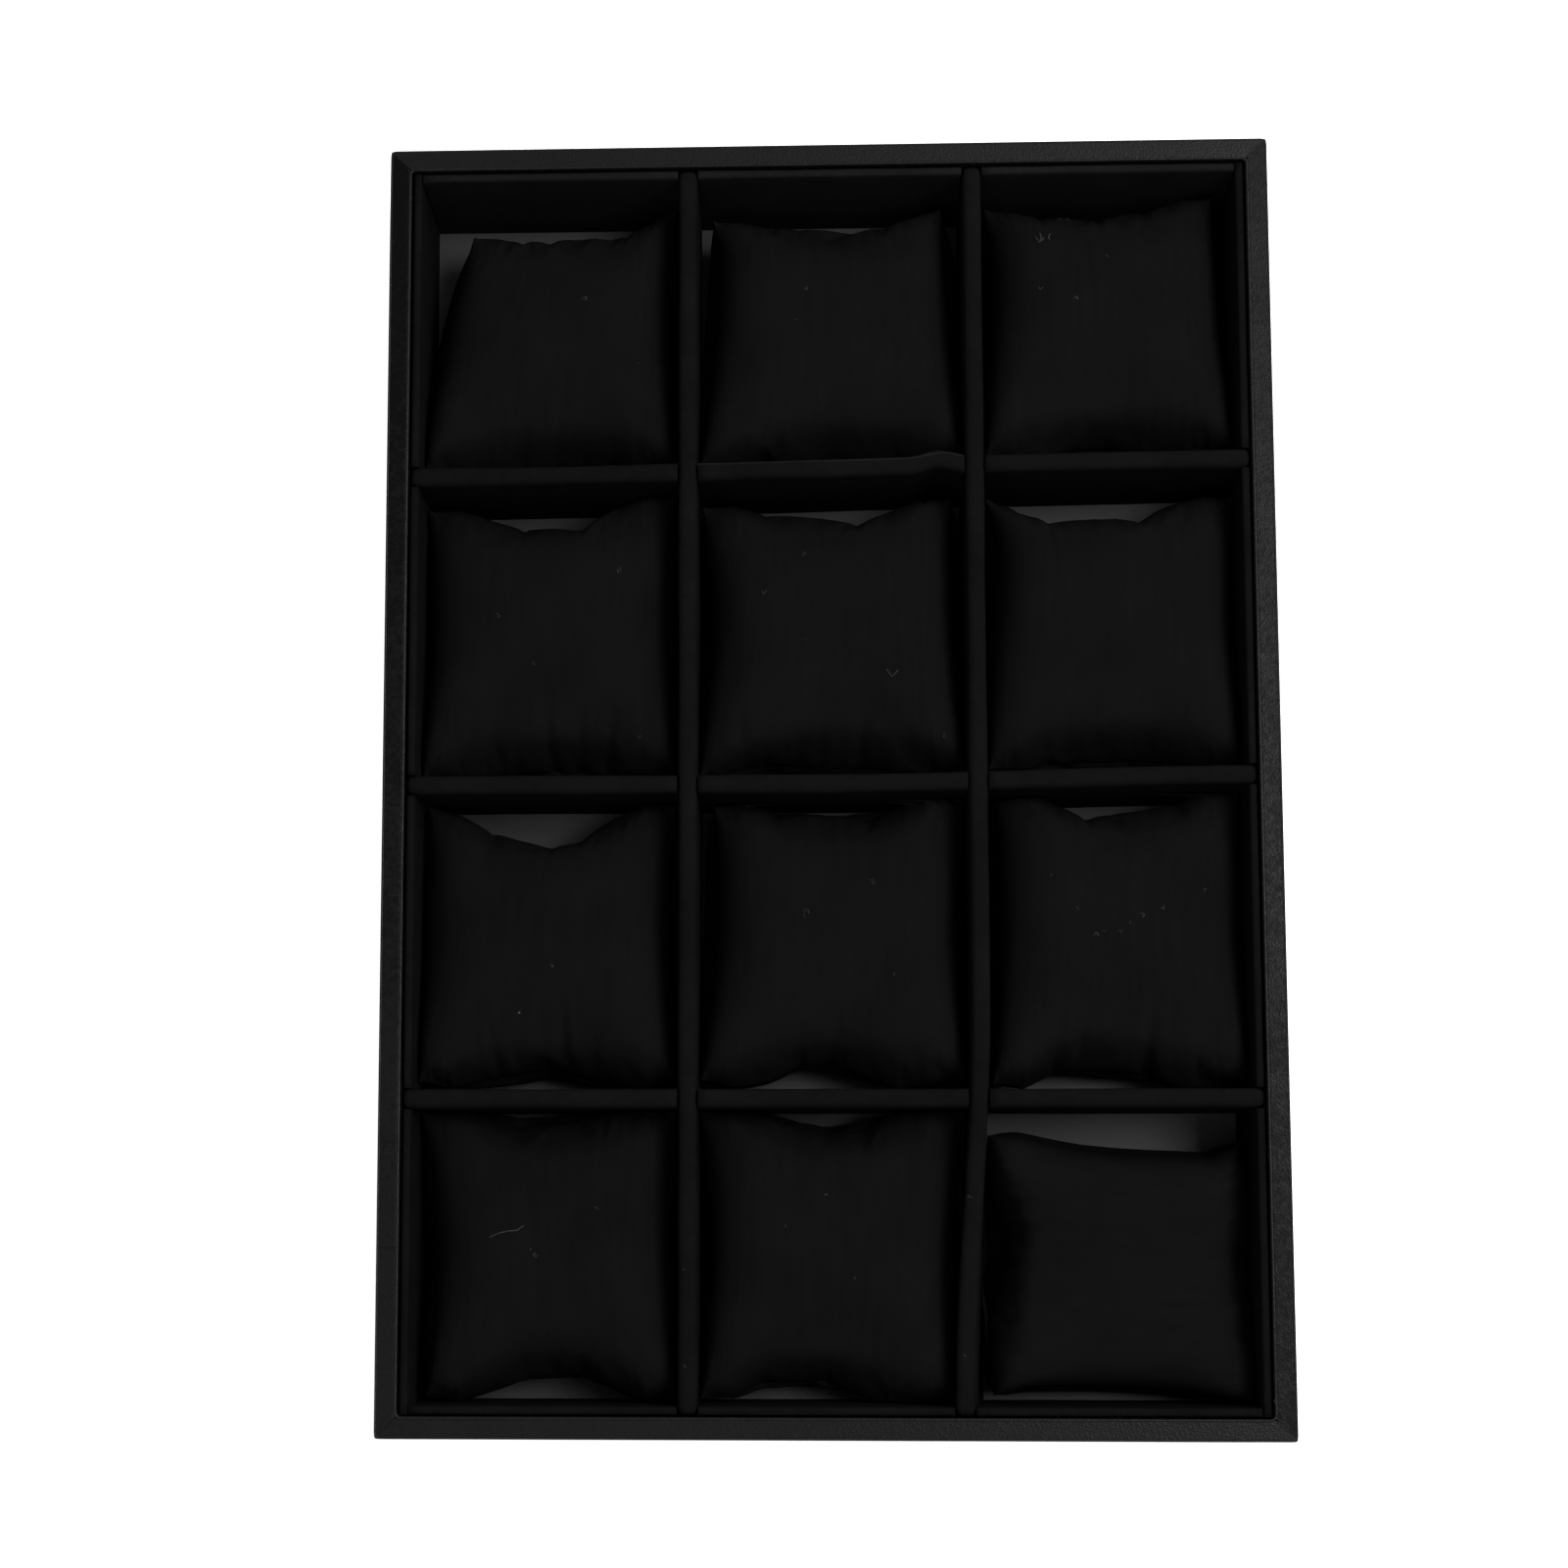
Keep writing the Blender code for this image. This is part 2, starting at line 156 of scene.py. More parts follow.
def addBlend(tree, place, dark, light):
    node = addNode(tree, "ShaderNodeMix", place, data_type="RGBA")
    node.inputs["A"].default_value = dark
    node.inputs["B"].default_value = light
    return node


def addShine(tree, place, look):
    # the lighter the colour, the smoother it is
    smooth, rough = look["roughness"]
    return addNode(tree, "ShaderNodeMapRange", place, {"To Min": rough, "To Max": smooth})


def addBump(tree, look):
    values = {"Strength": look["bump"], "Distance": look["bumpDepth"]}
    return addNode(tree, "ShaderNodeBump", (600, -250), values)


clothSpread = {"From Min": 0.36, "From Max": 0.64}
sheetSpread = {"From Min": 0.38, "From Max": 0.62}


def startGroup(name, inputs, outputs):
    group = bpy.data.node_groups.new(name, "ShaderNodeTree")
    for label, kind, value in inputs:
        socket = group.interface.new_socket(label, in_out="INPUT", socket_type=kind)
        if value is not None:
            socket.default_value = value
    for label, kind in outputs:
        group.interface.new_socket(label, in_out="OUTPUT", socket_type=kind)
    return group, addNode(group, "NodeGroupInput", (-900, 0)), addNode(group, "NodeGroupOutput", (900, 0))


def buildNapGroup():
    # fine pile, long streaks where the pile lies over, and broad patches
    group, given, out = startGroup(
        "velvetNap",
        (
            ("Vector", "NodeSocketVector", None),
            ("Pile Scale", "NodeSocketFloat", 2600.0),
            ("Streak Stretch", "NodeSocketVector", (1.0, 0.12, 1.0)),
            ("Streak Scale", "NodeSocketFloat", 420.0),
            ("Patch Scale", "NodeSocketFloat", 55.0),
        ),
        (("Shade", "NodeSocketFloat"), ("Height", "NodeSocketFloat")),
    )
    pile = addNode(group, "ShaderNodeTexNoise", (-500, 250), {"Detail": 3.0, "Roughness": 0.65})
    lay = addNode(group, "ShaderNodeMapping", (-700, -50))
    streak = addNode(group, "ShaderNodeTexNoise", (-500, -50), {"Detail": 4.0, "Roughness": 0.6})
    patch = addNode(group, "ShaderNodeTexNoise", (-500, -350), {"Detail": 2.0, "Roughness": 0.5})
    joinA = addNode(group, "ShaderNodeMix", (-200, 100), {"Factor": 0.45})
    joinB = addNode(group, "ShaderNodeMix", (0, 0), {"Factor": 0.35})
    spread = addNode(group, "ShaderNodeMapRange", (200, 0), clothSpread)
    height = addNode(group, "ShaderNodeMix", (200, 250), {"Factor": 0.3})
    link = group.links.new
    link(given.outputs["Vector"], pile.inputs["Vector"])
    link(given.outputs["Pile Scale"], pile.inputs["Scale"])
    link(given.outputs["Vector"], lay.inputs["Vector"])
    link(given.outputs["Streak Stretch"], lay.inputs["Scale"])
    link(lay.outputs["Vector"], streak.inputs["Vector"])
    link(given.outputs["Streak Scale"], streak.inputs["Scale"])
    link(given.outputs["Vector"], patch.inputs["Vector"])
    link(given.outputs["Patch Scale"], patch.inputs["Scale"])
    link(pile.outputs["Fac"], joinA.inputs["A"])
    link(streak.outputs["Fac"], joinA.inputs["B"])
    link(joinA.outputs["Result"], joinB.inputs["A"])
    link(patch.outputs["Fac"], joinB.inputs["B"])
    link(joinB.outputs["Result"], spread.inputs["Value"])
    link(spread.outputs["Result"], out.inputs["Shade"])
    link(pile.outputs["Fac"], height.inputs["A"])
    link(streak.outputs["Fac"], height.inputs["B"])
    link(height.outputs["Result"], out.inputs["Height"])
    return group


def buildFluffGroup():
    # a few pale specks of fluff, one in some of the cells
    group, given, out = startGroup(
        "fluffSpecks",
        (
            ("Vector", "NodeSocketVector", None),
            ("Spacing Scale", "NodeSocketFloat", 120.0),
            ("Size", "NodeSocketFloat", 0.035),
            ("Share", "NodeSocketFloat", 0.10),
        ),
        (("Mask", "NodeSocketFloat"),),
    )
    cells = addNode(group, "ShaderNodeTexVoronoi", (-600, 0))
    parts = addNode(group, "ShaderNodeSeparateColor", (-350, -200))
    chosen = addNode(group, "ShaderNodeMath", (-100, -200), operation="LESS_THAN")
    small = addNode(group, "ShaderNodeMath", (-100, 50), operation="LESS_THAN")
    both = addNode(group, "ShaderNodeMath", (200, 0), operation="MULTIPLY")
    link = group.links.new
    link(given.outputs["Vector"], cells.inputs["Vector"])
    link(given.outputs["Spacing Scale"], cells.inputs["Scale"])
    link(cells.outputs["Color"], parts.inputs["Color"])
    link(parts.outputs["Red"], chosen.inputs[0])
    link(given.outputs["Share"], chosen.inputs[1])
    link(cells.outputs["Distance"], small.inputs[0])
    link(given.outputs["Size"], small.inputs[1])
    link(chosen.outputs[0], both.inputs[0])
    link(small.outputs[0], both.inputs[1])
    link(both.outputs[0], out.inputs["Mask"])
    return group


velvetNap = buildNapGroup()
fluffSpecks = buildFluffGroup()


# velvets: pillows follow their own cloth, boards follow the tray
velvet = {
    "dark": (0.0028, 0.0028, 0.0028, 1),
    "light": (0.0049, 0.0049, 0.0050, 1),
    "roughness": 0.94,
    "specular": 0.02,
    "bump": 0.25,
    "bumpDepth": 0.0003,
    "byCloth": False,
    "stretch": (1.0, 1.0, 0.3),
    "streakScale": 300.0,
    "fluffShare": 0.02,
    "fluffColour": (0.06, 0.06, 0.06, 1),
}
velvets = {
    # a lighter copy for the ridge on the back cross divider: painted highlight
    "ridgeHighlightVelvet": dict(
        velvet,
        dark=(0.0060, 0.0060, 0.0060, 1),
        light=(0.0112, 0.0112, 0.0114, 1),
        stretch=(0.3, 1.0, 1.0),
        fluffShare=0.0,
    ),
    "pillowVelvet": dict(
        velvet,
        dark=(0.0030, 0.0030, 0.0030, 1),
        light=(0.0048, 0.0048, 0.0049, 1),
        roughness=0.92,
        byCloth=True,
        stretch=(1.0, 0.10, 1.0),
        streakScale=480.0,
        fluffShare=0.012,
    ),
    "dividerVelvet": velvet,
    "linerVelvet": dict(velvet, roughness=0.95, bump=0.2, fluffShare=0.008),
}
# a lighter copy of the liner velvet for the back liner, whose face is lit from the front: painted light
velvets["backLinerPaintedLightVelvet"] = dict(
    velvets["linerVelvet"], dark=(0.0052, 0.0052, 0.0052, 1), light=(0.0090, 0.0090, 0.0091, 1)
)


def velvetMaterial(name, look):
    material, tree, shader = startMaterial(
        name, {"Roughness": look["roughness"], "Specular IOR Level": look["specular"]}
    )
    where = addNode(tree, "ShaderNodeTexCoord", (-600, 0))
    nap = addNode(tree, "ShaderNodeGroup", (-300, 150), node_tree=velvetNap)
    nap.inputs["Streak Stretch"].default_value = look["stretch"]
    nap.inputs["Streak Scale"].default_value = look["streakScale"]
    fluff = addNode(tree, "ShaderNodeGroup", (-300, -200), node_tree=fluffSpecks)
    fluff.inputs["Share"].default_value = look["fluffShare"]
    cloth = addBlend(tree, (0, 150), look["dark"], look["light"])
    dusted = addBlend(tree, (300, 100), look["dark"], look["fluffColour"])
    bump = addBump(tree, look)
    link = tree.links.new
    source = where.outputs["UV" if look["byCloth"] else "Object"]
    link(source, nap.inputs["Vector"])
    link(where.outputs["Object"], fluff.inputs["Vector"])
    link(nap.outputs["Shade"], cloth.inputs["Factor"])
    link(cloth.outputs["Result"], dusted.inputs["A"])
    link(fluff.outputs["Mask"], dusted.inputs["Factor"])
    link(dusted.outputs["Result"], shader.inputs["Base Color"])
    link(nap.outputs["Height"], bump.inputs["Height"])
    link(bump.outputs["Normal"], shader.inputs["Normal"])
    return material


# leatherette: fine pebbled grain, mottled shine; each wall a lighter or darker copy, painted light standing
# in for how the lamps fall on it
leather = {
    "dark": (0.0018, 0.0018, 0.0019, 1),
    "light": (0.0040, 0.0040, 0.0041, 1),
    "specular": 0.104,
    "roughness": (0.30, 0.46),
    "grainScale": 1500.0,
    "grainRelief": 0.8,
    "mottleScale": 700.0,
    "patchScale": 90.0,
    "patchShare": 0.22,
    "paintedReflectionFall": 0.0,  # how much lighter it grows towards the back, darker where negative: a painted reflection of the lamps along the wall
    "bump": 0.5,
    "bumpDepth": 0.00012,
}
leathers = {
    "leatherette": leather,
    # lit and shaded copies of one leatherette, one for each wall: painted light and painted reflection
    "leatherLeftPaintedLight": dict(
        leather,
        dark=(0.0010, 0.0010, 0.0011, 1),
        light=(0.0060, 0.0060, 0.0061, 1),
        specular=0.056,
        paintedReflectionFall=-1.1,
    ),
    "leatherRightPaintedLight": dict(
        leather,
        dark=(0.0016, 0.0016, 0.0017, 1),
        light=(0.0088, 0.0088, 0.0090, 1),
        specular=0.060,
        paintedReflectionFall=0.55,
    ),
    "leatherBackPaintedLight": dict(leather, light=(0.0054, 0.0054, 0.0055, 1), specular=0.138),
    # a lighter copy for the rounded rim edges: real rounding, with a painted highlight in its colour
    "leatherEdgePaintedHighlight": dict(
        leather, dark=(0.0036, 0.0036, 0.0037, 1), light=(0.0075, 0.0075, 0.0077, 1), specular=0.12
    ),
}


def leatherMaterial(name, look):
    material, tree, shader = startMaterial(name, {"Specular IOR Level": look["specular"]})
    where = addNode(tree, "ShaderNodeTexCoord", (-900, 0))
    grain = addNode(tree, "ShaderNodeTexVoronoi", (-600, -250), {"Scale": look["grainScale"]})
    mottle = addNode(tree, "ShaderNodeTexNoise", (-600, 50), {"Scale": look["mottleScale"], "Detail": 4.0})
    mottle.inputs["Roughness"].default_value = 0.7
    patch = addNode(tree, "ShaderNodeTexNoise", (-600, 350), {"Scale": look["patchScale"], "Detail": 3.0})
    joined = addNode(tree, "ShaderNodeMix", (-350, 200), {"Factor": look["patchShare"]})
    # painted reflection: colour and shine are made lighter or darker along the wall's length, standing in
    # for how the lamps' reflection falls on it
    parts = addNode(tree, "ShaderNodeSeparateXYZ", (-600, 600))
    paintedReflectionRamp = addNode(tree, "ShaderNodeMath", (-250, 450), operation="MULTIPLY_ADD")
    paintedReflectionRamp.inputs[1].default_value = look["paintedReflectionFall"]
    spread = addNode(tree, "ShaderNodeMapRange", (-50, 200), sheetSpread)
    colour = addBlend(tree, (300, 250), look["dark"], look["light"])
    shine = addShine(tree, (300, 0), look)
    height = addNode(tree, "ShaderNodeMath", (0, -250), operation="MULTIPLY_ADD")
    height.inputs[1].default_value = look["grainRelief"]
    bump = addBump(tree, look)
    link = tree.links.new
    for texture in (grain, mottle, patch):
        link(where.outputs["Object"], texture.inputs["Vector"])
    link(mottle.outputs["Fac"], joined.inputs["A"])
    link(patch.outputs["Fac"], joined.inputs["B"])
    link(where.outputs["Object"], parts.inputs["Vector"])
    link(parts.outputs["Y"], paintedReflectionRamp.inputs[0])
    link(joined.outputs["Result"], paintedReflectionRamp.inputs[2])
    link(paintedReflectionRamp.outputs[0], spread.inputs["Value"])
    link(spread.outputs["Result"], colour.inputs["Factor"])
    link(spread.outputs["Result"], shine.inputs["Value"])
    link(colour.outputs["Result"], shader.inputs["Base Color"])
    link(shine.outputs["Result"], shader.inputs["Roughness"])
    link(grain.outputs["Distance"], height.inputs[0])
    link(mottle.outputs["Fac"], height.inputs[2])
    link(height.outputs[0], bump.inputs["Height"])
    link(bump.outputs["Normal"], shader.inputs["Normal"])
    return material


# plain sheets: the smooth grey floor lining, the paper under the tray, the raw board; and the lint
sheets = {
    "floorLining": {
        "dark": (0.0300, 0.0300, 0.0303, 1),
        "light": (0.0362, 0.0362, 0.0365, 1),
        "roughness": (0.38, 0.50),
        "specular": 0.12,
        "patchScale": 30.0,
        "grainScale": 2200.0,
        "bump": 0.08,
        "bumpDepth": 0.0002,
    },
    "coverPaper": {
        "dark": (0.0120, 0.0120, 0.0120, 1),
        "light": (0.0240, 0.0235, 0.0230, 1),
        "roughness": (0.80, 0.95),
        "specular": 0.2,
        "patchScale": 90.0,
        "grainScale": 1400.0,
        "bump": 0.4,
        "bumpDepth": 0.0002,
    },
    "lintDust": {
        "dark": (0.0100, 0.0100, 0.0100, 1),
        "light": (0.0260, 0.0260, 0.0260, 1),
        "roughness": (0.80, 0.95),
        "specular": 0.1,
        "patchScale": 400.0,
        "grainScale": 3000.0,
        "bump": 0.2,
        "bumpDepth": 0.0002,
    },
    "lintFibre": {
        "dark": (0.0160, 0.0160, 0.0160, 1),
        "light": (0.0420, 0.0420, 0.0420, 1),
        "roughness": (0.80, 0.95),
        "specular": 0.1,
        "patchScale": 400.0,
        "grainScale": 3000.0,
        "bump": 0.2,
        "bumpDepth": 0.0002,
    },
    "rawBoard": {
        "dark": (0.075, 0.060, 0.045, 1),
        "light": (0.140, 0.115, 0.085, 1),
        "roughness": (0.75, 0.95),
        "specular": 0.2,
        "patchScale": 200.0,
        "grainScale": 900.0,
        "bump": 0.4,
        "bumpDepth": 0.0002,
    },
}


sheetGrainShare = 0.4


def sheetMaterial(name, look):
    material, tree, shader = startMaterial(name, {"Specular IOR Level": look["specular"]})
    where = addNode(tree, "ShaderNodeTexCoord", (-700, 0))
    patch = addNode(tree, "ShaderNodeTexNoise", (-450, 200), {"Scale": look["patchScale"], "Detail": 4.0})
    grain = addNode(tree, "ShaderNodeTexNoise", (-450, -200), {"Scale": look["grainScale"], "Detail": 3.0})
    both = addNode(tree, "ShaderNodeMix", (-200, 100), {"Factor": sheetGrainShare})
    spread = addNode(tree, "ShaderNodeMapRange", (0, 100), sheetSpread)
    colour = addBlend(tree, (300, 200), look["dark"], look["light"])
    shine = addShine(tree, (300, -50), look)
    bump = addBump(tree, look)
    link = tree.links.new
    link(where.outputs["Object"], patch.inputs["Vector"])
    link(where.outputs["Object"], grain.inputs["Vector"])
    link(patch.outputs["Fac"], both.inputs["A"])
    link(grain.outputs["Fac"], both.inputs["B"])
    link(both.outputs["Result"], spread.inputs["Value"])
    link(spread.outputs["Result"], colour.inputs["Factor"])
    link(spread.outputs["Result"], shine.inputs["Value"])
    link(colour.outputs["Result"], shader.inputs["Base Color"])
    link(shine.outputs["Result"], shader.inputs["Roughness"])
    link(grain.outputs["Fac"], bump.inputs["Height"])
    link(bump.outputs["Normal"], shader.inputs["Normal"])
    return material


finishes = {name: velvetMaterial(name, look) for name, look in velvets.items()}
finishes.update({name: sheetMaterial(name, look) for name, look in sheets.items()})
finishes.update({name: leatherMaterial(name, look) for name, look in leathers.items()})
print("finishes mixed:", ", ".join(sorted(finishes)))


def coverNode(name, finish):
    mesh = nodes[name].data
    mesh.materials.clear()
    mesh.materials.append(finishes[finish])


nodeFinishes = {
    "wall_left": "leatherLeftPaintedLight",
    "wall_right": "leatherRightPaintedLight",
    "wall_back": "leatherBackPaintedLight",
    "wall_front": "leatherette",
    "floor_lining": "floorLining",
    "underside_cover": "coverPaper",
    "base_board": "rawBoard",
}
for name, finish in nodeFinishes.items():
    coverNode(name, finish)


def smoothStep(t):
    t = min(max(t, 0.0), 1.0)
    return t * t * (3 - 2 * t)


def addPiece(name, bm, finish, sharpAngle=45):
    mesh = bpy.data.meshes.new(name)
    bm.to_mesh(mesh)
    bm.free()
    mesh.shade_smooth()
    mesh.set_sharp_from_angle(angle=math.radians(sharpAngle))
    mesh.materials.append(finishes[finish])
    piece = bpy.data.objects.new(name, mesh)
    bpy.context.scene.collection.objects.link(piece)
    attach(piece, "root")
    return piece


# velvet boards: each follows its solid, cut finely and let go a little uneven
boards = {
    "cutEvery": 4.0,
    "cutHeights": (10.0, 17.0, 24.0, 31.0, 37.0, 41.0),
    "flatWithin": 0.4,  # degrees
    "shifts": (2.3, 0.7, 1.9),  # from one board to the next
    "waveLength": 30,
    "rippleLength": 7,
    "backLean": 1.1,  # the foot of the back liner stands forward by this much
    "leanHeight": 34,
    "divider": {"wave": 0.22, "ripple": 0.07, "finish": "dividerVelvet", "slot": "divider_velvet"},
    "liner": {"wave": 0.10, "ripple": 0.05, "finish": "linerVelvet", "slot": "liner_velvet"},
}


def velvetBoard(name, kind, seed):
    look = boards[kind]
    bm = bmesh.new()
    bm.from_mesh(nodes[name].data)
    bmesh.ops.remove_doubles(bm, verts=bm.verts, dist=1e-6)
    flat = math.radians(boards["flatWithin"])
    bmesh.ops.dissolve_limit(bm, angle_limit=flat, verts=bm.verts, edges=bm.edges)
    low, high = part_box(name)
    axis = 0 if high.x - low.x > high.y - low.y else 1
    along = Vector((1, 0, 0)) if axis == 0 else Vector((0, 1, 0))
    count = int((high[axis] - low[axis]) / (boards["cutEvery"] * mm))
    cuts = [(along * (low[axis] + (high[axis] - low[axis]) * i / count), along) for i in range(1, count)]
    cuts += [(Vector((0, 0, z * mm)), Vector((0, 0, 1))) for z in boards["cutHeights"]]
    for at, across in cuts:
        everything = bm.verts[:] + bm.edges[:] + bm.faces[:]
        bmesh.ops.bisect_plane(bm, geom=everything, plane_co=at, plane_no=across)
    bm.normal_update()
    shift = Vector([seed * step for step in boards["shifts"]])
    leans = name == "liner_back"
    for vert in bm.verts:
        wide = vert.co / (boards["waveLength"] * mm) + shift
        fine = vert.co / (boards["rippleLength"] * mm) - shift
        push = look["wave"] * noise.noise(wide) + look["ripple"] * noise.noise(fine)
        vert.co += vert.normal * push * mm
        if leans:
            vert.co.y -= boards["backLean"] * mm * smoothStep(1 - vert.co.z / (boards["leanHeight"] * mm))
    # the back liner takes the lighter velvet: painted light on its lit face
    finish = "backLinerPaintedLightVelvet" if leans else look["finish"]
    piece = addPiece(f"velvet_{name}", bm, finish)
    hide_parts(name)
    return piece


dividerNames = (
    "long_divider_left",
    "long_divider_right",
    "cross_divider_back",
    "cross_divider_middle",
    "cross_divider_front",
)
linerNames = ("liner_left", "liner_right", "liner_back", "liner_front")
boardPieces = [velvetBoard(name, "divider", i + 1) for i, name in enumerate(dividerNames)]
boardPieces += [velvetBoard(name, "liner", i + 11) for i, name in enumerate(linerNames)]
print("velvet boards made:", len(boardPieces))


# pillows, in millimetres: four ears set in from the solid's box (back left, back right, front left,
# front right), and how far each edge is drawn in between them, read from left to right or front to back;
# tucks: place across, lean, reach from the front (from the back where negative) and depth
plainFront = (1.4, 2.5, 3.2, 3.4, 3.2, 2.5, 1.4)
pillowShapes = {
    "pillow_1_1": {
        "ears": ((12.1, 8.3), (-0.5, 2.0), (0.0, 0.2), (-0.5, 0.4)),
        "back": (1.2, 2.5, 3.2, 3.8, 4.3, 4.5, 2.5),
        "front": plainFront,
        "left": (-2.6,),
        "right": (1.2,),
        "tucks": ((0.04, 0.006, 24.0, 1.1), (0.14, 0.003, 9.0, 1.0)),
    },
    "pillow_1_2": {
        "ears": ((2.4, 3.0), (4.9, 1.6), (-1.0, 0.2), (-0.1, 0.4)),
        "back": (1.6, 3.1, 3.7, 3.8, 3.9, 3.6, 2.0),
        "front": plainFront,
        "left": (0.7, 1.3, 1.7, 2.1, 2.3, 2.4, 2.3),
        "right": (-0.3,),
    },
    "pillow_1_3": {
        "ears": ((0.4, 3.3), (4.4, 2.1), (0.0, 0.2), (-0.1, 0.4)),
        "back": (1.3, 2.8, 3.1, 3.5, 2.6, 1.8, 0.4),
        "front": plainFront,
        "left": (0.0, 0.5, 1.0, 1.5, 1.8, 1.7, 1.1),
        "right": (-0.3,),
    },
    "pillow_2_1": {
        "ears": ((0.4, 2.8), (-0.4, 0.0), (0.0, 0.2), (-0.5, 0.4)),
        "back": (1.1, 3.9, 6.3, 5.7, 5.1, 1.8, 0.0),
        "front": plainFront,
        "left": (0.7,),
        "right": (0.3,),
        "tucks": (
            (0.02, -0.004, 15.0, 1.6),
            (0.22, 0.004, 13.0, 1.5),
            (0.44, 0.010, 12.0, 1.6),
            (-0.4, -0.008, 9.0, 1.2),
        ),
    },
    "pillow_2_2": {
        "ears": ((-0.4, 5.6), (2.7, 4.8), (-1.0, 0.2), (-0.2, 0.4)),
        "back": (0.5, 2.3, 3.1, 4.0, 4.3, 2.4, -0.2),
        "front": plainFront,
        "left": (0.5, 1.2, 2.0, 2.4, 2.4, 1.7, 0.4),
        "right": (0.5,),
        "tucks": (
            (-0.66, -0.006, 12.0, 1.6),
            (-0.1, 0.003, 8.0, 1.3),
            (0.2, 0.004, 13.0, 1.6),
            (0.55, 0.006, 8.0, 1.1),
        ),
    },
    "pillow_2_3": {
        "ears": ((-1.2, 3.2), (0.0, 4.2), (-1.4, 0.2), (-0.1, 0.4)),
        "back": (3.2, 5.3, 5.2, 4.7, 4.0, 1.8, 0.3),
        "front": plainFront,
        "left": (-0.2, 0.1, 0.7, 1.5, 2.2, 2.9, 2.6),
        "right": (0.2,),
    },
    "pillow_3_1": {
        "ears": ((1.3, -1.5), (-0.4, -1.1), (0.0, 0.2), (-0.5, 0.4)),
        "back": (2.6, 7.3, 9.0, 9.4, 7.6, 3.6, 0.2),
        "front": (-0.3, 1.1, 1.6, 2.0, 1.1, 0.0, -0.5),
        "left": (-0.1,),
        "right": (1.7,),
        "tucks": ((-0.38, -0.005, 13.0, 1.6), (0.14, 0.000, 20.0, 2.0), (0.34, 0.008, 10.0, 1.3)),
    },
    "pillow_3_2": {
        "ears": ((1.5, 1.0), (-1.1, -1.5), (-2.2, 0.2), (-0.2, 0.4)),
        "back": (-0.1, 3.5, 3.8, 4.0, 4.4, 1.9, -1.4),
        "front": (-0.5, 1.0, 3.6, 3.4, 1.8, -0.5, -0.5),
        "left": (2.0,),
        "right": (1.3,),
        "backBelly": 2.0,
    },
    "pillow_3_3": {
        "ears": ((1.8, -1.2), (-0.1, -1.6), (0.3, 0.2), (-0.1, 0.4)),
        "back": (-0.2, 3.6, 6.2, 6.4, 6.3, 5.0, 1.0),
        "front": (0.2, 4.1, 4.7, 4.0, 3.2, 0.8, -0.2),
        "left": (1.6,),
        "right": (0.1,),
        "tucks": ((0.2, 0.002, 15.0, 1.8), (-0.3, -0.004, 10.0, 1.4)),
    },
    "pillow_4_1": {
        "ears": ((-0.9, -0.8), (-0.4, -0.7), (2.3, 1.5), (-0.5, 1.4)),
        "back": (-0.1, 2.7, 4.5, 4.0, 3.0, 0.9, -0.1),
        "front": (-0.3, 2.3, 4.5, 5.1, 4.7, 2.1, -0.5),
        "left": (2.8,),
        "right": (0.4,),
        "backBelly": 3.0,
    },
    "pillow_4_2": {
        "ears": ((-0.1, -0.9), (-1.3, -0.3), (-0.1, 0.6), (1.9, 0.8)),
        "back": (-0.2, 2.4, 4.6, 4.9, 4.7, 1.4, -0.4),
        "front": (1.0, 3.5, 3.9, 3.5, 2.3, -0.2, -0.4),
        "left": (2.2,),
        "right": (0.8,),
        "backBelly": 2.0,
    },
    "pillow_4_3": {
        "ears": ((0.5, 0.5), (1.3, 1.8), (1.4, 1.6), (-0.1, -0.2)),
        "back": (0.3, 2.1, 3.5, 4.1, 4.5, 4.6, 4.7),
        "front": (2.2, 2.8, 3.0, 3.0, 2.8, 2.2, 1.0),
        "left": (0.0, 0.2, 0.9, 2.6, 3.3, 2.0, -0.2),
        "right": (-0.3,),
        "turned": True,
        "sideRound": (9.0, 0.50),
        "endRounds": ((9.0, 0.60), (6.5, 0.50)),
        "belly": 2.2,
        "endBelly": 2.4,
        "tucks": (
            (-0.44, -0.010, 6.5, 1.9),
            (-0.27, 0.004, 8.5, 2.2),
            (-0.19, 0.012, 5.5, 1.8),
            (-0.02, 0.010, 6.5, 2.0),
            (0.20, -0.006, 4.5, 1.4),
            (-0.80, 0.010, -8.0, 2.4),
        ),
    },
}
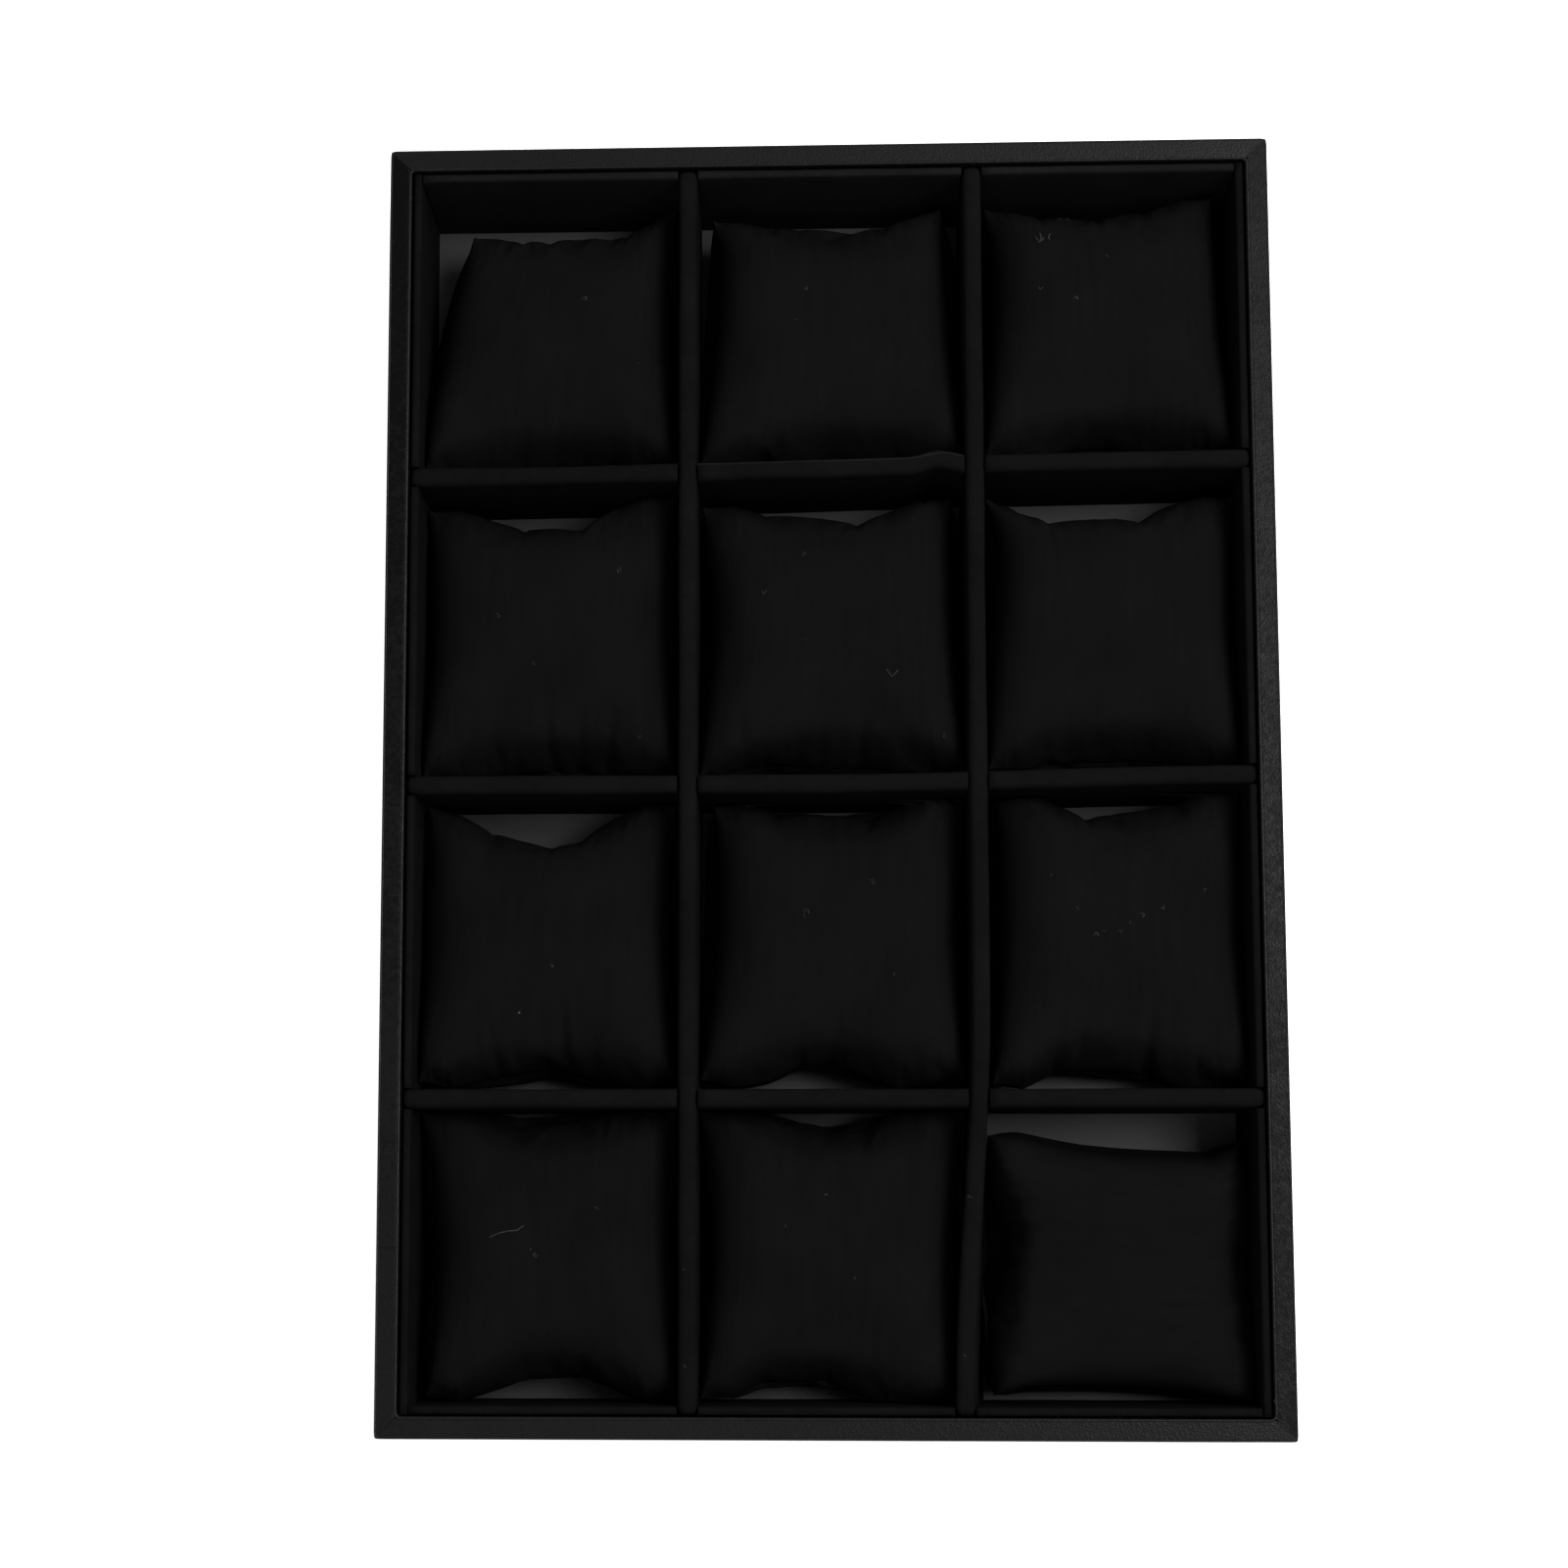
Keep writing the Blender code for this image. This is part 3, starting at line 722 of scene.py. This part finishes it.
stuffing = {
    "cellsAcross": 78,
    "cellsAlong": 44,
    "clothScale": 0.045,  # the cloth from its middle to its edge, in metres
    "clothShift": 0.2,  # from one pillow to the next
    "noiseShifts": (3.7, 1.3),
    "halfLength": 25,  # from the middle to the front end, as the tucks are measured
    "seamHeight": 22.3,
    "seamGap": 0.6,
    "top": 38.3,
    "over": 15.0,
    "under": 20.0,
    "sideRound": (5.5, 0.52),
    "sideEase": 0.12,  # the sides are steeper towards the front
    "rightRound": 8.0,  # the right side is squarer
    "endRounds": ((8.0, 0.85), (3.4, 0.66)),  # front, back
    "underRound": 0.55,  # the lower half is fuller: its swell is raised to this power
    # front, back left, back right: height, how fast it fades across and along
    "earLift": ((8.5, 3.0, 1.3), (3.5, 4.0, 4.0), (7.0, 3.0, 2.5)),
    # pleats, creases and loose cloth: where they begin from the middle, how soon they are full
    "pleatStart": (0.76, 0.24),
    "pleatCount": 7.0,
    "pleatDepth": 1.2,
    "creaseStart": (0.70, 0.28),
    "creaseDepth": 1.1,
    "creaseWidth": 0.10,
    "creaseCount": 8.0,
    "slackStart": (0.74, 0.24),
    "slackSides": 0.25,
    "earReach": 0.97,  # the cloth past this is held
    "belly": 4.2,  # how far the lower half swells past the seam at the sides
    "endBelly": 1.1,  # and at the front end
    "tuckWidth": 1.1,
    "tuckWelt": 0.35,  # how far the cloth stands up beside a tuck
    "workScale": 5.0,  # the cloth is let out at five times its size
    "frames": 14,
    "quality": 6,
    "weight": 0.3,
    "pressure": 3.0,
    "tension": 40.0,
    "bending": 0.1,
    "shear": 8.0,
    "slackAtEnds": -0.15,
    "slackElsewhere": -0.02,
    "cap": 4.5,
    "sideGive": 0.25,  # share of the cloth's own sideways move that is kept
    "endGive": 0.6,
    "middleGive": 0.35,
    "seatSoftness": 0.5,
    "clearance": 0.5,  # kept from every board
}


def drawnIn(values, t):
    # how far an edge is drawn in at t, from -1 at one ear to 1 at the other
    if len(values) == 1:
        return values[0] * (1 - t * t)
    return float(np.interp(t, np.linspace(-1, 1, len(values) + 2), (0, *values, 0)))


def eased(value, begin):
    start, width = begin
    return smoothStep((value - start) / width)


def pillowPouch(name, shape, seed):
    look = stuffing
    low, high = (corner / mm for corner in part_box(name))
    backLeft, backRight, frontLeft, frontRight = shape["ears"]
    ears = {
        (-1, 1): (low.x + backLeft[0], high.y - backLeft[1]),
        (1, 1): (high.x - backRight[0], high.y - backRight[1]),
        (-1, -1): (low.x + frontLeft[0], low.y + frontLeft[1]),
        (1, -1): (high.x - frontRight[0], low.y + frontRight[1]),
    }
    turned = shape.get("turned", False)
    sideRound = shape.get("sideRound", look["sideRound"])
    sideReach = shape.get("belly", look["belly"])
    bm = bmesh.new()
    bmesh.ops.create_grid(bm, x_segments=look["cellsAcross"], y_segments=look["cellsAlong"], size=1.0)
    layer = bm.loops.layers.uv.new("cloth")
    scale, away = look["clothScale"], seed * look["clothShift"]
    for face in bm.faces:
        for loop in face.loops:
            loop[layer].uv = (loop.vert.co.x * scale, loop.vert.co.y * scale + away)
    drawn = bmesh.ops.extrude_face_region(bm, geom=bm.faces[:])
    upper = {item for item in drawn["geom"] if isinstance(item, bmesh.types.BMVert)}
    bm.verts.index_update()
    shiftX, shiftY = look["noiseShifts"]
    shift = Vector((seed * shiftX, seed * shiftY, 0))
    weights, gathers = [], []
    for vert in bm.verts:
        a, b = vert.co.x, vert.co.y
        across, along = math.sin(a * math.pi / 2), math.sin(b * math.pi / 2)
        u, v = (along, -across) if turned else (across, along)
        x = y = 0.0
        for (su, sv), (earX, earY) in ears.items():
            share = (1 + su * u) * (1 + sv * v) / 4
            x += share * earX
            y += share * earY
        x += (drawnIn(shape["left"], v) * (1 - u) - drawnIn(shape["right"], v) * (1 + u)) / 2
        y += (drawnIn(shape["front"], u) * (1 - v) - drawnIn(shape["back"], u) * (1 + v)) / 2
        power = look["rightRound"] if across > 0 and not turned else sideRound[0]
        full = (1 - abs(across) ** power) ** (sideRound[1] + (0 if turned else look["sideEase"] * along))
        atBack = along > 0
        endRound = shape.get("endRounds", look["endRounds"])[atBack]
        full *= (1 - abs(along) ** endRound[0]) ** endRound[1]
        side = 1 if vert in upper else -1
        full = full if side > 0 else full ** look["underRound"]
        nearEnd = eased(abs(along), look["pleatStart"])
        pleat = noise.noise(Vector((a * look["pleatCount"], along * 0.9 + side * 5, 0)) + shift)
        pleat *= look["pleatDepth"] * nearEnd * (1 - abs(across) ** 3) * (0.25 + full)
        earLift = look["earLift"][(1 + (across > 0)) if atBack else 0]
        lift = earLift[0] * abs(across) ** earLift[1] * abs(along) ** earLift[2]
        rise = look["over"] if side > 0 else look["under"]
        if side < 0:
            # the lower half swells out to the dividers beneath the drawn-in edge
            swell = 4 * full * (1 - full)
            wide = sideReach * swell * (1 - along**8) * across * abs(across)
            reach = shape.get("backBelly", 0.0) if atBack else shape.get("endBelly", look["endBelly"])
            deep = reach * swell * (1 - across**8) * along * abs(along)
            x, y = (x + deep, y - wide) if turned else (x + wide, y + deep)
        z = look["seamHeight"] + side * (look["seamGap"] + rise * full) + pleat + lift
        vert.co = Vector((x, y, z)) * mm * look["workScale"]
        slack = eased(abs(along), look["slackStart"]) * smoothStep((1.0 - abs(across)) / look["slackSides"])
        atEar = abs(across) > look["earReach"] and abs(along) > look["earReach"]
        weights.append((1 - slack, atEar))
        # the creases fan out towards the end
        fan = a * look["creaseCount"] * (1.35 - 0.35 * abs(b))
        fold = noise.noise(Vector((fan, b * 1.2, side * 3.1)) + shift)
        crease = max(0.0, 1 - abs(fold) / look["creaseWidth"]) * eased(abs(along), look["creaseStart"])
        for place, lean, reach, depth in shape.get("tucks", ()):
            back = (1 + along if reach > 0 else 1 - along) * look["halfLength"]
            if side > 0 and back < abs(reach):
                off = abs(across - place - lean * back) * look["halfLength"] / look["tuckWidth"]
                profile = max(0, 1 - off) - look["tuckWelt"] * max(0, 1 - abs(off - 2))
                crease += depth * (1 - back / abs(reach)) * profile
        gathers.append((slack, side * crease * (1 - abs(across) ** 4)))
    bmesh.ops.recalc_face_normals(bm, faces=bm.faces)
    pouch = addPiece(f"velvet_{name}", bm, "pillowVelvet", sharpAngle=180)
    tight = pouch.vertex_groups.new(name="tight")
    held = pouch.vertex_groups.new(name="held")
    for index, (weight, atEar) in enumerate(weights):
        tight.add([index], weight, "REPLACE")
        if atEar:
            held.add([index], 1.0, "REPLACE")
    return pouch, np.array(gathers)


def stuff(pouch, gathers, turned):
    # cloth under a little pressure, its ends cut fuller than the seam, so that they gather;
    # only part of its move is kept, and the creases are pressed in after it
    look = stuffing
    start = np.array([vert.co for vert in pouch.data.vertices])
    cloth = pouch.modifiers.new("stuffed", "CLOTH")
    how = cloth.settings
    how.quality = look["quality"]
    how.mass = look["weight"]
    how.tension_stiffness = how.compression_stiffness = look["tension"]
    how.shear_stiffness = look["shear"]
    how.bending_stiffness = look["bending"]
    how.use_pressure = True
    how.uniform_pressure_force = look["pressure"]
    how.effector_weights.gravity = 0
    how.vertex_group_shrink = "tight"
    how.shrink_min = look["slackAtEnds"]
    how.shrink_max = look["slackElsewhere"]
    how.vertex_group_mass = "held"
    cloth.point_cache.frame_start = 1
    cloth.point_cache.frame_end = look["frames"]
    for step in range(1, look["frames"] + 1):
        bpy.context.scene.frame_set(step)
    moved = pouch.evaluated_get(bpy.context.evaluated_depsgraph_get())
    mesh = bpy.data.meshes.new_from_object(moved)
    pouch.modifiers.clear()
    pouch.data = mesh
    bpy.context.scene.frame_set(1)
    points = np.array([vert.co for vert in pouch.data.vertices])
    move = points - start
    far = np.linalg.norm(move, axis=1)
    limit = look["cap"] * mm * look["workScale"]
    move *= (limit * np.tanh(far / limit) / np.maximum(far, 1e-9))[:, None]
    sideways = 1 if turned else 0
    move[:, sideways] *= look["sideGive"]
    move[:, 1 - sideways] *= look["endGive"]
    move *= (look["middleGive"] + (1 - look["middleGive"]) * gathers[:, 0])[:, None]
    points = (start + move) / look["workScale"]
    points[:, 2] -= gathers[:, 1] * look["creaseDepth"] * mm
    return points


def boardTree(pieces):
    bm = bmesh.new()
    for piece in pieces:
        bm.from_mesh(piece.data)
    tree = BVHTree.FromBMesh(bm)
    bm.free()
    return tree


def settle(pouch, points, name):
    # set down on the floor lining, no higher than its solid and clear of the boards round it
    look = stuffing
    low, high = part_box(name)
    middle = (low + high) / 2
    seam = look["seamHeight"] * mm
    z = points[:, 2]
    above = z > seam
    z[above] = seam + (z[above] - seam) * (look["top"] * mm - seam) / (z.max() - seam)
    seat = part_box("floor_lining")[1].z
    soft = look["seatSoftness"] * mm
    deep = z - seat
    points[:, 2] = seat + (deep + np.sqrt(deep * deep + soft * soft)) / 2
    for point in points:
        for axis in (0, 1):
            start = Vector(point)
            start[axis] = middle[axis]
            way = Vector((0, 0, 0))
            way[axis] = 1 if point[axis] > middle[axis] else -1
            hit = boardsAround.ray_cast(start, way)[3]
            if hit is not None:
                room = hit - look["clearance"] * mm
                point[axis] = middle[axis] + way[axis] * min(abs(point[axis] - middle[axis]), room)
    pouch.data.vertices.foreach_set("co", points.ravel())
    pouch.data.update()
    pouch.vertex_groups.clear()
    finer = pouch.modifiers.new("finer", "SUBSURF")
    finer.levels = finer.render_levels = 1
    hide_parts(name)


boardsAround = boardTree(boardPieces)
pillowPieces = []
for seed, (name, shape) in enumerate(pillowShapes.items(), 1):
    pouch, gathers = pillowPouch(name, shape, seed)
    settle(pouch, stuff(pouch, gathers, shape.get("turned", False)), name)
    pillowPieces.append(pouch)
    print("pillow stuffed:", name)


# thin round lengths, for edges, folds and fibres
def sweepTube(bm, path, radius, sides=8, closed=False):
    points = [Vector(point) * mm for point in path]
    rings = []
    for i, point in enumerate(points):
        before = points[i - 1] if i or closed else point
        after = points[(i + 1) % len(points)] if i + 1 < len(points) or closed else point
        turn = (after - before).to_track_quat("Z", "Y").to_matrix().to_4x4()
        ring = bmesh.ops.create_circle(
            bm, segments=sides, radius=radius * mm, matrix=Matrix.Translation(point) @ turn
        )
        rings.append(list({edge for vert in ring["verts"] for edge in vert.link_edges}))
    pairs = list(zip(rings, rings[1:])) + ([(rings[-1], rings[0])] if closed else [])
    for first, second in pairs:
        bmesh.ops.bridge_loops(bm, edges=first + second)
    if not closed:
        for ring in (rings[0], rings[-1]):
            bmesh.ops.holes_fill(bm, edges=ring)


def finishTubes(name, bm, finish):
    bmesh.ops.recalc_face_normals(bm, faces=bm.faces)
    addPiece(name, bm, finish, sharpAngle=80)


# leatherette turned over the rim: soft inner and outer edges, a wrapped post at each corner, folds on the
# mitres, puckers at the front right corner and a crease on the left; in millimetres
rimFolds = {
    "innerHalf": (114.50, 169.50),
    "innerCorner": 1.6,
    "innerRadius": 0.48,
    "outerHalf": (119.62, 174.62),
    "outerCorner": 1.3,
    "outerRadius": 0.36,
    "height": 44.72,
    "postPlace": (119.15, 174.15),
    "postRadius": 0.80,
    "postHeights": (0.9, 15, 30, 43.6, 44.5),
    "postSides": 16,
    "mitreRadius": 0.28,
    "mitrePath": ((114.6, 169.6, 0), (117, 172, 0), (119.3, 174.3, -0.15)),  # height over the mitre's own
    "mitres": {"back_left": 44.76, "back_right": 44.84, "front_left": 44.88, "front_right": 44.90},
    "puckerRadius": 0.26,
    "puckers": (
        ((113.9, -164.1, 44.85), (114.6, -166.0, 44.93), (115.6, -167.8, 44.90), (116.5, -169.2, 44.84)),
        ((114.2, -168.0, 44.86), (114.9, -169.3, 44.93), (116.6, -169.9, 44.86)),
        ((114.4, -166.6, 44.84), (114.3, -167.9, 44.93), (114.5, -169.0, 44.84)),
    ),
    "creaseRadius": 0.26,
    "crease": ((-119.6, -125.6, 44.80), (-117.4, -125.4, 44.86), (-114.6, -125.7, 44.80)),
}


cornerSteps = 6


def roundedLoop(half, corner, height):
    points = []
    for cornerX, cornerY, first in ((1, 1, 0), (-1, 1, 90), (-1, -1, 180), (1, -1, 270)):
        for step in range(cornerSteps + 1):
            angle = math.radians(first + 90 * step / cornerSteps)
            x = cornerX * (half[0] - corner) + corner * math.cos(angle)
            y = cornerY * (half[1] - corner) + corner * math.sin(angle)
            points.append((x, y, height))
    return points


def rimTrim(look):
    bm = bmesh.new()
    for edge in ("inner", "outer"):
        loop = roundedLoop(look[f"{edge}Half"], look[f"{edge}Corner"], look["height"])
        sweepTube(bm, loop, look[f"{edge}Radius"], closed=True)
    # the edge tubes are coloured lighter: a painted highlight along the rim's rounded edges
    finishTubes("rim_edge_wraps", bm, "leatherEdgePaintedHighlight")
    bm = bmesh.new()
    postX, postY = look["postPlace"]
    for name, top in look["mitres"].items():
        x = 1 if name.endswith("right") else -1
        y = 1 if name.startswith("back") else -1
        mitre = [(x * alongX, y * alongY, top + over) for alongX, alongY, over in look["mitrePath"]]
        sweepTube(bm, mitre, look["mitreRadius"])
        post = [(x * postX, y * postY, height) for height in look["postHeights"]]
        sweepTube(bm, post, look["postRadius"], sides=look["postSides"])
    for path in look["puckers"]:
        sweepTube(bm, path, look["puckerRadius"])
    sweepTube(bm, look["crease"], look["creaseRadius"])
    finishTubes("rim_folds", bm, "leatherette")


rimTrim(rimFolds)
print("rim folded")


# a thin raised ridge in lighter velvet along the far edge of the back cross divider: real relief, with a
# painted highlight in its colour
highlightRidge = {
    "radius": 0.28,
    "height": 43.9,
    "path": (
        (-35.4, 86.0),
        (-29.0, 86.0),
        (-22.0, 86.0),
        (-13.0, 86.1),
        (-4.0, 86.2),
        (5.0, 86.3),
        (14.5, 86.5),
        (22.5, 86.8),
        (26.2, 87.4),
        (30.7, 88.2),
        (33.5, 88.6),
        (36.8, 87.8),
    ),
}


# lint, seen from above and dropped on to the cloth beneath: threads by their points, tufts by their place,
# reach and number of fibres
lint = {
    "dropFrom": 60,
    "missHeight": 30,  # where the nearest cloth is sought when none lies beneath
    "sides": 6,
    "lieShare": 0.6,  # how high a fibre lies on the cloth, as a share of its radius
    "threadRadius": 0.15,
    "tuftRadius": 0.12,
    "tuftSteps": 4,
    "tuftTurn": 0.9,  # radians from one point of a fibre to the next
    "threads": (
        ((-90.7, -122.5), (-88.1, -121.4), (-85.5, -120.9), (-83.4, -120.7), (-81.6, -119.4)),
        ((15.6, 29.9), (16.4, 28.7), (17.1, 27.8), (17.9, 28.6), (18.7, 29.6)),
        ((57.6, 151.9), (58.2, 150.8), (58.6, 149.9), (59.4, 150.5), (60.0, 151.3)),
        ((61.9, 152.8), (61.2, 151.6), (61.6, 150.8)),
        ((58.9, 153.0), (59.3, 151.9), (59.0, 150.6)),
        ((64.8, 160.8), (65.2, 159.7), (65.6, 158.6)),
        ((67.3, 161.1), (67.3, 159.8), (67.5, 158.5)),
    ),
    "tufts": (
        (77.0, 144.9, 0.6, 2),
        (68.3, 132.5, 0.9, 3),
        (58.5, 136.3, 0.8, 2),
        (71.0, -42.6, 0.9, 3),
        (73.1, -41.8, 0.5, 1),
        (77.2, -41.6, 0.6, 2),
        (79.6, -39.2, 0.5, 1),
        (83.0, -37.4, 0.9, 3),
        (88.5, -35.1, 0.7, 2),
        (59.5, -26.3, 0.6, 2),
        (65.9, -35.5, 0.6, 1),
        (100.3, -30.4, 0.7, 2),
        (-6.2, -36.3, 1.3, 3),
        (11.4, -27.9, 0.8, 2),
        (16.7, -52.9, 0.6, 2),
        (-66.7, 134.3, 0.9, 3),
        (-51.7, 115.8, 0.5, 1),
        (-5.7, 136.9, 0.7, 2),
        (-8.4, 128.0, 0.6, 1),
        (-56.9, 57.9, 0.9, 3),
        (-79.8, 32.5, 0.8, 2),
        (-50.9, 11.8, 0.7, 2),
        (-90.0, 45.4, 0.8, 2),
        (-6.5, 62.3, 0.7, 2),
        (-17.5, 51.8, 0.9, 2),
        (-6.6, 38.4, 0.6, 1),
        (31.0, 11.8, 0.6, 2),
        (-78.4, -127.1, 0.8, 3),
        (-80.0, -125.8, 0.5, 1),
        (-62.3, -115.2, 0.8, 2),
        (-1.3, -111.6, 0.7, 2),
        (-12.5, -119.6, 0.6, 2),
        (6.3, -133.2, 0.6, 1),
        (-74.7, -50.5, 0.7, 2),
        (-38.6, -156.0, 0.5, 2),
        (36.1, -111.9, 0.6, 2),
        (34.4, -153.3, 0.5, 1),
        (-38.7, -131.1, 0.5, 1),
    ),
}


def dropped(x, y, above):
    # the point on the cloth under this place, and a little above it
    hit = clothTree.ray_cast(Vector((x, y, lint["dropFrom"])) * mm, Vector((0, 0, -1)))[0]
    if hit is None:
        return clothTree.find_nearest(Vector((x, y, lint["missHeight"])) * mm)[0] / mm
    return (x, y, hit.z / mm + above)


def scatterLint(look):
    bm = bmesh.new()
    lie = look["threadRadius"] * look["lieShare"]
    for path in look["threads"]:
        sweepTube(bm, [dropped(x, y, lie) for x, y in path], look["threadRadius"], sides=look["sides"])
    finishTubes("lint_threads", bm, "lintFibre")
    bm = bmesh.new()
    lie = look["tuftRadius"] * look["lieShare"]
    for x, y, reach, count in look["tufts"]:
        for strand in range(count):
            start = math.tau * noise.noise(Vector((x, y, strand * 1.7)))
            path = []
            for step in range(look["tuftSteps"]):
                angle = start + step * look["tuftTurn"]
                out = reach * (step + 1) / look["tuftSteps"]
                path.append(dropped(x + out * math.cos(angle), y + out * math.sin(angle), lie))
            sweepTube(bm, path, look["tuftRadius"], sides=look["sides"])
    finishTubes("lint_tufts", bm, "lintDust")


clothTree = boardTree(pillowPieces + boardPieces)
bm = bmesh.new()
sought = [Vector((x, y, highlightRidge["height"])) * mm for x, y in highlightRidge["path"]]
ridge = [clothTree.find_nearest(point)[0] / mm for point in sought]
sweepTube(bm, ridge, highlightRidge["radius"])
finishTubes("divider_ridge_painted_highlight", bm, "ridgeHighlightVelvet")
scatterLint(lint)
print("lint scattered")
